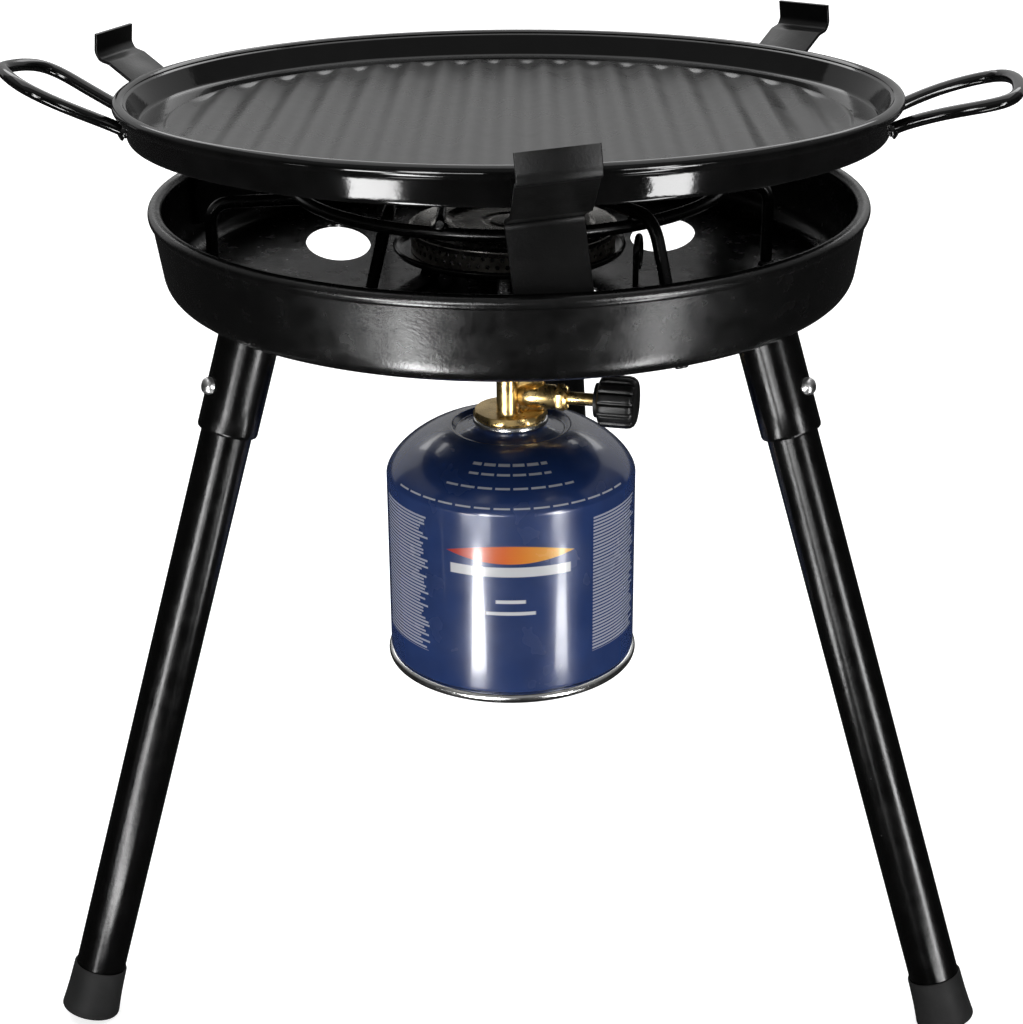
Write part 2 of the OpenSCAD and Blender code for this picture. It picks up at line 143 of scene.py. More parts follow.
def enamel(name="enamel", base=0.003, rough=(0.06, 0.12), spec=0.3, worn=0.0):
    """Fired gloss enamel: faint orange peel, cloudy gloss; worn adds roughness on the pan's cooking face."""
    m, nt, b, co = new_mat(name)
    b.inputs["Specular IOR Level"].default_value = spec
    n = noise(nt, co, 90, 4)
    nt.links.new(ramp(nt, n, [(0.3, base), (0.75, base * 2)]), b.inputs["Base Color"])
    gloss = ramp(nt, noise(nt, co, 40, 3), [(0.35, rough[0]), (0.7, rough[1])])
    if worn:
        face_r, under_face = 0.1385, PAN - 0.0118
        x, y, z = separate(nt, co)
        radius2 = calc(nt, "ADD", calc(nt, "MULTIPLY", x, x), calc(nt, "MULTIPLY", y, y))
        above = calc(nt, "ADD", z, calc(nt, "MULTIPLY", y, math.tan(TILT)))
        face = calc(nt, "MULTIPLY", calc(nt, "LESS_THAN", radius2, face_r ** 2),
                    calc(nt, "GREATER_THAN", above, under_face))
        gloss = calc(nt, "ADD", gloss, calc(nt, "MULTIPLY", face, worn))
    nt.links.new(gloss, b.inputs["Roughness"])
    a = bump(nt, b, noise(nt, co, 420, 2), 0.00005, 0.4)
    bump(nt, b, noise(nt, co, 60, 1), 0.0004, 0.2, a)
    return m


def coat(name, base, rough, pimple=0.00012, scale=900, spec=0.15, speck=0.0):
    """Powder coat or moulded surface: fine pimples, slow waviness, cloudy gloss and a few pale specks."""
    m, nt, b, co = new_mat(name)
    b.inputs["Specular IOR Level"].default_value = spec
    n = noise(nt, co, 60, 5, 0.6)
    color = ramp(nt, n, [(0.3, base * 0.75), (0.75, base * 1.3)])
    if speck:
        v = nt.nodes.new("ShaderNodeTexVoronoi")
        v.inputs["Scale"].default_value = 160
        nt.links.new(co, v.inputs["Vector"])
        dots = ramp(nt, v.outputs["Distance"], [(0.035, 1.0), (0.06, 0.0)])
        few = ramp(nt, noise(nt, co, 23, 2), [(0.6, 0.0), (0.68, 1.0)])
        mask = calc(nt, "MULTIPLY", dots, few)
        color = mix_color(nt, mask, color, (speck, speck, speck))
    nt.links.new(color, b.inputs["Base Color"])
    gloss = ramp(nt, noise(nt, co, 140, 3), [(0.3, rough - 0.04), (0.75, rough + 0.06)])
    nt.links.new(gloss, b.inputs["Roughness"])
    a = bump(nt, b, noise(nt, co, scale, 3, 0.6), pimple, 0.6)
    bump(nt, b, noise(nt, co, 120, 2), 0.0002, 0.25, a)
    return m


def metal(name, color, rough, vary=0.12, depth=0.00003):
    """Bare metal: fine tarnish, uneven gloss."""
    m, nt, b, co = new_mat(name)
    b.inputs["Metallic"].default_value = 1.0
    n = noise(nt, co, 300, 4, 0.6)
    dark = tuple(c * (1 - vary) for c in color)
    nt.links.new(ramp(nt, n, [(0.3, dark), (0.7, color)]), b.inputs["Base Color"])
    gloss = ramp(nt, noise(nt, co, 150, 3, 0.5), [(0.3, rough * 0.75), (0.75, rough * 1.35)])
    nt.links.new(gloss, b.inputs["Roughness"])
    bump(nt, b, n, depth, 0.5)
    return m


def calc(nt, op, a, b=None, clamp=False):
    """One Math node; each operand is a number or an output."""
    n = nt.nodes.new("ShaderNodeMath")
    n.operation = op
    n.use_clamp = clamp
    for i, v in enumerate((a, b)):
        if v is None:
            continue
        if isinstance(v, (int, float)):
            n.inputs[i].default_value = v
        else:
            nt.links.new(v, n.inputs[i])
    return n.outputs[0]


def within(nt, v, lo, hi, soft):
    """1 where lo < v < hi, fading to 0 over the width soft."""
    up = calc(nt, "DIVIDE", calc(nt, "SUBTRACT", v, lo), soft, True)
    down = calc(nt, "DIVIDE", calc(nt, "SUBTRACT", hi, v), soft, True)
    return calc(nt, "MULTIPLY", up, down)


def printed_can():
    """Blue lacquer with a plain print: a warm lens, rule lines and pale panels, no lettering."""
    m, nt, b, co = new_mat("can_lacquer")
    b.inputs["Specular IOR Level"].default_value = 0.5
    b.inputs["Coat Weight"].default_value = 0.5
    b.inputs["Coat Roughness"].default_value = 0.08
    # degrees round the can from its front, and height in mm
    x, y, z = separate(nt, co)
    front = calc(nt, "ARCTAN2", x, calc(nt, "MULTIPLY", y, -1))
    turn = calc(nt, "MULTIPLY", front, 57.29578)
    high = calc(nt, "MULTIPLY", z, 1000)

    def mul(*v):
        out = v[0]
        for w in v[1:]:
            out = calc(nt, "MULTIPLY", out, w)
        return out

    def bar(half, lo, hi):
        return mul(within(nt, turn, -half, half, 0.6), within(nt, high, lo, hi, 0.2))

    blue = [(0.3, (0.014, 0.04, 0.16)), (0.75, (0.019, 0.052, 0.2))]
    col = ramp(nt, noise(nt, co, 70, 4), blue)
    # lens: half height falls off to both ends
    fall = calc(nt, "SUBTRACT", 1, mul(turn, turn, 1 / 900.0), True)
    off = calc(nt, "ABSOLUTE", calc(nt, "SUBTRACT", high, 183.6))
    lens = calc(nt, "MULTIPLY", calc(nt, "SUBTRACT", calc(nt, "MULTIPLY", fall, 4.2), off), 3, True)
    flame = [(0.1, (0.55, 0.03, 0.01)), (0.45, (0.9, 0.16, 0.01)), (0.9, (0.95, 0.5, 0.03))]
    warm = ramp(nt, calc(nt, "ADD", calc(nt, "MULTIPLY", turn, 1 / 60.0), 0.5), flame)
    col = mix_color(nt, lens, col, warm)
    for half, lo, hi in ((28, 173.6, 178.2), (7, 161.4, 163.2), (11.5, 156.0, 157.8)):
        col = mix_color(nt, bar(half, lo, hi), col, (0.75, 0.76, 0.78))
    # ruled panels at the sides, their lines of uneven length
    rows = calc(nt, "GREATER_THAN", calc(nt, "FRACT", calc(nt, "MULTIPLY", high, 0.66)), 0.42)
    row = calc(nt, "FLOOR", calc(nt, "MULTIPLY", high, 0.66))
    ragged = calc(nt, "FRACT", calc(nt, "MULTIPLY", calc(nt, "SINE", calc(nt, "MULTIPLY", row, 12.9)), 43.7))
    for lo, hi in ((-76, -40), (40, 76)):
        end = calc(nt, "SUBTRACT", hi, calc(nt, "MULTIPLY", ragged, 6))
        side = mul(calc(nt, "GREATER_THAN", turn, lo), calc(nt, "LESS_THAN", turn, end))
        panel = mul(side, rows, within(nt, high, 133, 196, 0.3))
        col = mix_color(nt, calc(nt, "MULTIPLY", panel, 0.7), col, (0.6, 0.63, 0.72))
    # rings of short rules on the shoulder
    dash = calc(nt, "GREATER_THAN", calc(nt, "FRACT", calc(nt, "MULTIPLY", turn, 1 / 9.0)), 0.18)
    for lo, hi, half in ((217.0, 217.9, 24), (214.4, 215.2, 24), (210.3, 211.1, 34), (203.6, 204.4, 62)):
        rules = mul(within(nt, turn, -half, half, 0.6), within(nt, high, lo, hi, 0.15), dash)
        col = mix_color(nt, calc(nt, "MULTIPLY", rules, 0.85), col, (0.7, 0.72, 0.78))
    nt.links.new(col, b.inputs["Base Color"])
    nt.links.new(ramp(nt, noise(nt, co, 50, 3), [(0.35, 0.2), (0.7, 0.3)]), b.inputs["Roughness"])
    bump(nt, b, noise(nt, co, 300, 2), 0.00003, 0.3)
    return m


M = {
    "enamel": enamel(spec=0.3, worn=0.2),
    "handle_enamel": enamel("handle_enamel", 0.003, (0.06, 0.12), 0.4),
    "bowl_coat": coat("bowl_coat", 0.002, 0.24, spec=0.5, speck=0.05),
    "bracket_coat": coat("bracket_coat", 0.003, 0.36, spec=0.2),
    "wire_coat": coat("wire_coat", 0.005, 0.24, 0.00006, spec=0.4),
    "leg_coat": coat("leg_coat", 0.002, 0.2, 0.00008, spec=0.25, speck=0.06),
    "stainless": metal("stainless", (0.62, 0.6, 0.56), 0.24, depth=0.000006),
    "flame_band": metal("flame_band", (0.66, 0.63, 0.57), 0.45, depth=0.00001),
    "zinc": metal("zinc", (0.6, 0.6, 0.6), 0.3),
    "brass": metal("brass", (0.72, 0.52, 0.22), 0.27, vary=0.25, depth=0.00006),
    "tin": metal("tin", (0.7, 0.7, 0.69), 0.22),
    "saucer": enamel("saucer", 0.006, (0.14, 0.24), 0.4),
    "rubber": coat("rubber", 0.02, 0.6, 0.0001, 1500, spec=0.15),
    "knob_plastic": coat("knob_plastic", 0.007, 0.36, 0.00006, 1800, spec=0.3),
    "can_lacquer": printed_can(),
}
slot_of = {s["node"]: s["material_slot"] for s in frame["record"]["subparts"]}
for name, obj in nodes.items():
    for s in obj.material_slots:
        s.material = M[slot_of[name]]


# ---------- mesh builders (metres) ----------

def link(name, verts, faces, mat, smooth_deg=40):
    me = bpy.data.meshes.new(name)
    me.from_pydata([tuple(v) for v in verts], [], [tuple(f) for f in faces])
    me.validate()
    me.shade_smooth()
    me.set_sharp_from_angle(angle=math.radians(smooth_deg))
    me.materials.append(M[mat])
    o = bpy.data.objects.new(name, me)
    scene.collection.objects.link(o)
    return o


def apply(o, smooth_deg):
    """Turns the object's modifiers into plain mesh."""
    me = bpy.data.meshes.new_from_object(o.evaluated_get(bpy.context.evaluated_depsgraph_get()))
    o.modifiers.clear()
    o.data = me
    me.shade_smooth()
    me.set_sharp_from_angle(angle=math.radians(smooth_deg))


def place(o, body, slot, *replaced):
    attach(o, body)
    if replaced:
        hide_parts(*replaced)
    return o


def round_path(pts, radius, seg=6):
    """2-D polyline with its inner corners rounded; radius is one value or one per inner corner."""
    pts = [np.array(p, float) for p in pts]
    out = [pts[0]]
    for i in range(1, len(pts) - 1):
        a, b, c = pts[i - 1], pts[i], pts[i + 1]
        r = radius[i - 1] if isinstance(radius, (list, tuple)) else radius
        u, v = (a - b) / np.linalg.norm(a - b), (c - b) / np.linalg.norm(c - b)
        ang = math.acos(max(-1, min(1, float(u @ v))))
        d = r / math.tan(ang / 2) if ang > 0.01 else 0
        d = min(d, 0.49 * np.linalg.norm(a - b), 0.49 * np.linalg.norm(c - b))
        p, q = b + d * u, b + d * v
        for k in range(seg + 1):
            t = k / seg
            out.append((1 - t) ** 2 * p + 2 * t * (1 - t) * b + t * t * q)
    out.append(pts[-1])
    return out


def bridge(a, b, n):
    """Faces between two closed rings of n points that start at vertices a and b."""
    return [(a + k, a + (k + 1) % n, b + (k + 1) % n, b + k) for k in range(n)]


def loft(rings, n):
    """Faces of a skin over rings of n points, stored one ring after the other."""
    return [f for i in range(rings - 1) for f in bridge(i * n, (i + 1) * n, n)]


def end_caps(rings, n):
    """The two faces that close a lofted skin."""
    return [tuple(range(n - 1, -1, -1)), tuple((rings - 1) * n + j for j in range(n))]


def lathe_mesh(profile, n=192):
    """Turns the closed (r, z) outline round Z."""
    m = len(profile)
    ang = np.linspace(0, 2 * math.pi, n, endpoint=False)
    verts = [(r * math.cos(a), r * math.sin(a), z) for r, z in profile for a in ang]
    return np.array(verts), loft(m, n) + bridge((m - 1) * n, 0, n)


def frames(pts):
    """Tangents and two turning-free normals along a 3-D path."""
    pts = np.array(pts, float)
    t = np.gradient(pts, axis=0)
    t /= np.linalg.norm(t, axis=1)[:, None]
    ref = np.array((0, 0, 1.0)) if abs(t[0][2]) < 0.8 else np.array((1.0, 0, 0))
    n = [np.cross(t[0], ref)]
    n[0] /= np.linalg.norm(n[0])
    for i in range(1, len(pts)):
        v = n[-1] - t[i] * (n[-1] @ t[i])
        n.append(v / np.linalg.norm(v))
    n = np.array(n)
    return pts, t, n, np.cross(t, n)


def tube_mesh(pts, r, k=20, cap=0.0006):
    """Round wire along pts with softly rounded ends. r is a radius or one per point."""
    pts, t, n, b = frames(pts)
    rad = np.full(len(pts), r) if np.isscalar(r) else np.array(r)
    rings = []
    least = 0.35

    def end_ring(i, sign, s):
        inset = cap * (s - least) / (1 - least)
        return pts[i] + sign * t[i] * inset, n[i], b[i], rad[i] - cap * (1 - s) * 1.2

    for s in (least, 0.75, 1.0):
        rings.append(end_ring(0, 1, s))
    for i in range(1, len(pts) - 1):
        rings.append((pts[i], n[i], b[i], rad[i]))
    for s in (1.0, 0.75, least):
        rings.append(end_ring(-1, -1, s))
    ang = [2 * math.pi * j / k for j in range(k)]
    verts = [c + q * (math.cos(a) * u + math.sin(a) * v) for c, u, v, q in rings for a in ang]
    return np.array(verts), loft(len(rings), k) + end_caps(len(rings), k)


def spline(ctrl, m=12):
    """Smooth cubic curve that is guided by the control points and ends on the last one."""
    c = [ctrl[0], ctrl[0]] + list(ctrl) + [ctrl[-1], ctrl[-1]]
    c = np.array(c, float)
    out = []
    for i in range(len(c) - 3):
        for k in range(m):
            t = k / m
            w = np.array([(1 - t) ** 3, 3 * t ** 3 - 6 * t * t + 4,
                          -3 * t ** 3 + 3 * t * t + 3 * t + 1, t ** 3]) / 6
            out.append(w @ c[i:i + 4])
    out.append(c[-1])
    return np.array(out)


def join(*parts):
    verts, faces, base = [], [], 0
    for v, f in parts:
        verts.append(np.array(v))
        faces += [tuple(i + base for i in q) for q in f]
        base += len(v)
    return np.concatenate(verts), faces


def turn_z(v, deg):
    a = math.radians(deg)
    m = np.array([[math.cos(a), -math.sin(a), 0], [math.sin(a), math.cos(a), 0], [0, 0, 1]])
    return np.array(v) @ m.T


def pan_space(v):
    """From the pan's own frame to the part's frame."""
    c, s = math.cos(-TILT), math.sin(-TILT)
    m = np.array([[1, 0, 0], [0, c, -s], [0, s, c]])
    return np.array(v) @ m.T + np.array([0, 0, PAN])


def offset_loop(path, t):
    """Closed outline of a sheet of thickness t that follows a 2-D path."""
    p = np.array(path, float)
    d = np.gradient(p, axis=0)
    d /= np.linalg.norm(d, axis=1)[:, None]
    n = np.stack([-d[:, 1], d[:, 0]], 1)
    return np.concatenate([p + n * t / 2, (p - n * t / 2)[::-1]])


def outline(pairs):
    """(r, z) points in mm, as metres."""
    return [(a / 1000, b / 1000) for a, b in pairs]


def arc(cx, cy, rx, ry, start, stop, n):
    """Points on an ellipse from start to stop, in degrees."""
    return [(cx + rx * math.cos(a), cy + ry * math.sin(a))
            for a in np.linspace(math.radians(start), math.radians(stop), n)]


# ---------- griddle ----------

PAN_R = 157.3        # radius that the handles are set out from
RIB_PITCH = 15.2
RIBBED_R = 137.5     # radius that the ribs reach
GUTTER = -8.7        # gutter round the ribs, below the rim plane


def rib_height(x, y):
    """Height in mm of the cooking face below the rim plane, at x, y in mm."""
    r = np.hypot(x, y)
    wave = (1 + np.cos(2 * np.pi * x / RIB_PITCH)) / 2
    edge = np.sqrt(np.maximum(RIBBED_R ** 2 - x ** 2, 0)) - np.abs(y)
    t = np.clip((edge + 1.5 + 2.5 * wave) / 7.5, 0, 1)
    t = t * t * (3 - 2 * t)
    ribs = -9.9 + 1.9 * wave
    return np.where(r > RIBBED_R + 1, GUTTER, GUTTER * (1 - t) + ribs * t)


def griddle_pan():
    n_a = 540
    radii = np.concatenate([np.linspace(0.4, 126, 118), np.linspace(127, 140, 27)])
    ang = np.linspace(0, 2 * math.pi, n_a, endpoint=False)
    verts, faces = [(0, 0, float(rib_height(np.array(0.0), np.array(0.0))))], []
    for r in radii:
        x, y = r * np.cos(ang), r * np.sin(ang)
        z = rib_height(x, y)
        verts += list(zip(x, y, z))
    side = round_path([(140, GUTTER), (148.6, GUTTER + 0.1), (152.2, 0.6), (153.4, 1.2)], [2.2, 0.8], 5)[1:]
    bead = arc(155.3, 0, 2.6, 2.6, 140, -112, 19)
    outer = [(154.1, -3.2), (153.9, -4.4), (153.1, -9.6)]
    under = round_path([(153.1, -9.6), (152.6, -PAN_H), (60, -PAN_H)], [3.2], 6)[1:-1]
    rest = [(r, -PAN_H) for r in (147, 120, 60, 1)]
    for r, z in side + bead + outer + under + rest:
        verts += [(r * math.cos(a), r * math.sin(a), z) for a in ang]
    rings = len(radii) + len(side) + len(bead) + len(outer) + len(under) + len(rest)
    for k in range(n_a):
        faces.append((0, 1 + k, 1 + (k + 1) % n_a))
    for i in range(rings - 1):
        b0, b1 = 1 + i * n_a, 1 + (i + 1) * n_a
        for k in range(n_a):
            l = (k + 1) % n_a
            faces.append((b0 + k, b1 + k, b1 + l, b0 + l))
    verts.append((0, 0, -PAN_H))
    c, b0 = len(verts) - 1, 1 + (rings - 1) * n_a
    for k in range(n_a):
        faces.append((c, b0 + (k + 1) % n_a, b0 + k))
    o = link("griddle_pan_skin", pan_space(np.array(verts) / 1000), faces, "enamel", 50)
    place(o, "griddle", "enamel", "griddle_pan")


def grip(name, az, ctrl):
    """Bent wire handle; ctrl holds outward, sideways, up from the pan wall, in mm."""
    start = np.array([-7.6, -ctrl[0][0], -11.0])
    lead = start + np.array([7 * math.cos(math.radians(30)), 0, 7 * math.sin(math.radians(30))])
    half = [start, lead] + [np.array([a, -b, c]) for a, b, c in ctrl[1:]]
    full = half + [p * np.array([1, -1, 1]) for p in half[::-1]]
    path = spline(full, 14) + np.array([PAN_R, 0, 0])
    keep = np.hypot(path[:, 0], path[:, 1]) > PAN_R - 5.6
    wire = tube_mesh(path[keep] / 1000, 0.0025, 24, 0.0002)
    welds = []
    for f in (-1, 1):
        y = ctrl[0][0] * f
        r0 = math.sqrt((PAN_R - 4.4) ** 2 - y * y)
        c = np.array([r0, y, -10.0]) / 1000
        pts = [c + np.array([d * 0.86, 0, d * 0.5]) for d in np.linspace(-0.0006, 0.0024, 7)]
        rad = [0.0036, 0.0037, 0.00365, 0.0034, 0.0031, 0.0028, 0.00255]
        welds.append(tube_mesh(pts, rad, 24, 0.0002))
    v, f = join(wire, *welds)
    o = link(name + "_wire", pan_space(turn_z(v, az)), f, "handle_enamel", 50)
    place(o, "griddle", "handle_enamel", name)


griddle_pan()
grip("griddle_handle_left", 184.3, [(17.7,), (14.6, 24.8, 0.6), (32, 31.3, 10.6), (43.4, 3, 13)])
grip("griddle_handle_right", 354.2, [(18.4,), (16.6, 27, -0.6), (41.1, 33.3, 4.4), (43.8, 5.9, 6.8)])


# ---------- bowl ----------

def prism(edge, z0, z1):
    """Upright solid on a closed 2-D edge."""
    n = len(edge)
    v = [(x, y, z) for z in (z0, z1) for x, y in edge]
    return np.array(v), end_caps(2, n) + loft(2, n)


def oval(c, az, long, wide, n=72):
    """Ellipse about c with its length along az, from mm to metres."""
    a = np.linspace(0, 2 * math.pi, n, endpoint=False)
    q = math.radians(az)
    x, y = long / 2 * np.cos(a), wide / 2 * np.sin(a)
    return [((c[0] + u * math.cos(q) - v * math.sin(q)) / 1000,
             (c[1] + u * math.sin(q) + v * math.cos(q)) / 1000) for u, v in zip(x, y)]


def bowl():
    t = 1.2
    path = round_path([(8, UNDER + t / 2), (141.05, UNDER + t / 2), (143.9, 319)], [10.4], 14)
    loop = offset_loop(path, t)
    m = len(path)
    inner, outer = list(map(tuple, loop[:m])), list(map(tuple, loop[m:]))
    bead = arc(144.2, RIM, 2.9, 2.9, 238, -62, 26)
    v, f = lathe_mesh(outline(inner[:-1] + bead + outer[1:]), 240)
    o = link("bowl_shell", v, f, "bowl_coat", 35)
    # two vent slots, a round air hole and the holes of the pot support's nuts
    holes = [oval((-75.4, 46.6), 99.5, 58, 28), oval((67.4, 57.6), 80.5, 58, 28)]
    holes.append(oval((24.5, -29), 0, 24, 24, 40))
    for az in (303.5, 123.5):
        a = math.radians(az)
        holes.append(oval((115.1 * math.cos(a), 115.1 * math.sin(a)), 0, 6.2, 6.2, 24))
    cv, cf = join(*[prism(h, 0.284, 0.2925) for h in holes])
    c = link("bowl_cutter", cv, cf, "bowl_coat")
    mod = o.modifiers.new("holes", "BOOLEAN")
    mod.object = c
    mod.operation = "DIFFERENCE"
    mod.solver = "EXACT"
    apply(o, 35)
    bpy.data.objects.remove(c)
    place(o, "stand", "bowl_coat", "bowl")


bowl()


# ---------- brackets ----------

def bracket(name, az, rise, turn):
    """Bent strip from the bowl wall to the pan's edge; turn leans it sideways, in degrees."""
    half, thick, ease = 14.3, 1.5, 0.28
    slope = -math.tan(TILT) * math.sin(math.radians(az))
    lean = math.sin(math.radians(turn)) + math.tan(TILT) * math.cos(math.radians(az))
    # height of the strip where the pan rests on it
    z3 = PAN * 1000 - PAN_H + slope * 150 - (0.8 + abs(lean) * half)
    p = [(139.25, RIM - 21), (139.9, RIM - 14.5), (140.3, RIM - 6), (134.3, RIM + 8),
         (127, z3 - 8), (151.4, z3), (178, z3 + rise - 2.4),
         (182.4, z3 + rise - 1.2), (184.2, z3 + rise + 2), (183.4, z3 + rise + 9.8)]
    path = round_path(p, [3, 3, 5, 3, 2.5, 3, 3, 4, 4], 6)
    loop = offset_loop(path, thick)
    sections = [(-half, ease), (-half + 0.1, 0.1), (-half + 0.35, 0),
                (half - 0.35, 0), (half - 0.1, 0.1), (half, ease)]
    verts = []
    m = len(loop)
    mid = np.concatenate([path, path[::-1]])
    c, q = math.cos(math.radians(turn)), math.sin(math.radians(turn))
    for y, e in sections:
        for r, z in loop + (mid - loop) / (thick / 2) * e:
            verts.append((r / 1000, (y * c - (z - RIM) * q) / 1000, (RIM + y * q + (z - RIM) * c) / 1000))
    faces = loft(len(sections), m)
    h = m // 2
    e0 = (len(sections) - 1) * m
    for j in range(h - 1):
        faces.append((j, m - 1 - j, m - 2 - j, j + 1))
        faces.append((e0 + j, e0 + j + 1, e0 + m - 2 - j, e0 + m - 1 - j))
    o = link(name + "_plate", turn_z(verts, az), faces, "bracket_coat", 50)
    place(o, "stand", "bracket_coat", name)


bracket("bracket_front", 277, 20.4, 4.7)
bracket("bracket_left", 158.5, 20.4, 0.4)
bracket("bracket_right", 42.4, 21.6, -2.6)


# ---------- pot support ----------

RING_Z = 329.3
RING_R = 88
UNDER_RING = RING_Z - 5.02
OVER_RING = RING_Z + 5.02


def az_pt(az, r, z):
    a = math.radians(az)
    return np.array([r * math.cos(a), r * math.sin(a), z])


def blob(c, r, n=14):
    """Small weld bead: a flattened, slightly uneven ball."""
    verts = []
    for i in range(n // 2 + 1):
        b = math.pi * i / (n // 2)
        for j in range(n):
            a = 2 * math.pi * j / n
            q = r * (1 + 0.08 * math.sin(3 * a + 2 * b + c[0]))
            verts.append((c[0] + q * math.sin(b) * math.cos(a), c[1] + q * math.sin(b) * math.sin(a),
                          c[2] + 0.55 * q * math.cos(b)))
    return np.array(verts), [f[::-1] for f in loft(n // 2 + 1, n)]


def wire(name, corners, radius, r=2.5, welds=()):
    """Bent wire of the pot support through the corners, with weld beads, in mm."""
    pts = np.array(round_path([np.array(c, float) for c in corners], radius, 10))
    dense = [pts[0]]
    for a, b in zip(pts[:-1], pts[1:]):
        n = max(1, int(np.linalg.norm(b - a) / 8))
        dense += [a + (b - a) * k / n for k in range(1, n + 1)]
    v, f = tube_mesh(np.array(dense) / 1000, r / 1000, 20, 0.0004)
    parts = [(v, f)] + [blob(np.array(w) / 1000, 0.0034) for w in welds]
    v, f = join(*parts)
    o = link(name + "_wire", v, f, "wire_coat", 50)
    place(o, "stand", "wire_coat", name)


def trivet():
    v, f = lathe_mesh(outline(arc(RING_R, RING_Z, 2.5, 2.5, 0, 342, 20)), 160)
    seam = az_pt(97, RING_R, RING_Z) / 1000
    o = link("trivet_ring_wire", *join((v, f), blob(seam, 0.0031)), "wire_coat", 50)
    place(o, "stand", "wire_coat", "trivet_ring")
    for name, az, reach in (("trivet_arm_left", 189, 122), ("trivet_arm_right", 4.5, 108)):
        wire(name, [az_pt(az, 80, UNDER_RING), az_pt(az, reach, UNDER_RING), az_pt(az, reach, FLOOR)], 9,
             welds=[az_pt(az, RING_R, RING_Z - 2.5), az_pt(az, reach, FLOOR + 0.9)])
    for name, az in (("trivet_arm_front", 303.5), ("trivet_arm_rear", 123.5)):
        q = math.radians(20)
        foot = az_pt(az, 99 + 57 * math.sin(q), OVER_RING - 57 * math.cos(q))
        wire(name, [az_pt(az, 56, OVER_RING), az_pt(az, 99, OVER_RING), foot], 14,
             welds=[az_pt(az, RING_R, RING_Z + 2.5)])
    wire("trivet_stay", [(-43.5, 82, UNDER_RING), (-47.5, -38, UNDER_RING), (-56, -31, FLOOR + 0.5)], 8,
         welds=[(-44.1, 75.5, RING_Z - 2.5), (-56, -31, FLOOR + 0.9)])
    for name, x in (("trivet_bar_left", -25), ("trivet_bar_right", 25)):
        h = math.sqrt(RING_R ** 2 - x * x)
        wire(name, [(x, -h - 3, RING_Z + 4.32), (x, h + 3, RING_Z + 4.32)], 1, 1.8,
             welds=[(x, -h, RING_Z + 2.4), (x, h, RING_Z + 2.4)])


trivet()


# ---------- burner ----------

SAUCER = FLOOR + 5.1
HEAD = 0.0016        # burner head beside the axis


def revolve(name, node, path, thick, slot, mat, radius, shift=0):
    """Turned sheet part of the stand that follows the 2-D path with thickness thick, mm."""
    loop = offset_loop(round_path(path, radius, 5), thick)
    v, f = lathe_mesh([(max(r, 0.02) / 1000, z / 1000) for r, z in loop], 160)
    v[:, 0] += shift
    place(link(name, v, f, mat, 50), "stand", slot, node)


def flame_ring():
    """Perforated band: every cell of a staggered grid carries a round hole."""
    rows, cols, hole = 2, 66, 0.95
    z0, h, low, band = SAUCER + 5.75, 9.6, 1.4, 3.2
    r_out, r_in = 0.0423, 0.0415
    verts, faces = [], []

    def add(r, a, z):
        verts.append((r * math.cos(a) + HEAD, r * math.sin(a), z / 1000))
        return len(verts) - 1

    step = 2 * math.pi / cols
    k = 12
    for row in range(rows):
        zc = z0 + low + band * (row + 0.5)
        for c in range(cols):
            a0 = (c + 0.5 * (row % 2)) * step
            ringo, ringi, boxo, boxi = [], [], [], []
            for j in range(k):
                t = 2 * math.pi * j / k + math.pi / k
                dx, dz = math.cos(t), math.sin(t)
                s = 1 / max(abs(dx), abs(dz))
                ho, hz = hole * dx / (r_out * 1000), hole * dz
                bx, bz = s * dx * step / 2, s * dz * band / 2
                ringo.append(add(r_out, a0 + ho, zc + hz))
                ringi.append(add(r_in, a0 + ho, zc + hz))
                boxo.append(add(r_out, a0 + bx, zc + bz))
                boxi.append(add(r_in, a0 + bx, zc + bz))
            for j in range(k):
                l = (j + 1) % k
                faces.append((boxo[j], boxo[l], ringo[l], ringo[j]))
                faces.append((ringi[j], ringi[l], boxi[l], boxi[j]))
                faces.append((ringo[j], ringo[l], ringi[l], ringi[j]))
    for za, zb in ((z0, z0 + low), (z0 + low + rows * band, z0 + h)):
        n = cols * 2
        corners = ((r_out, za), (r_out, zb), (r_in, zb), (r_in, za))
        ring = [[add(r, 2 * math.pi * i / n, z) for i in range(n)][0] for r, z in corners]
        for q in range(4):
            faces += bridge(ring[q], ring[(q + 1) % 4], n)
    o = link("flame_ring_band", verts, faces, "flame_band", 30)
    place(o, "stand", "stainless", "burner_flame_ring")


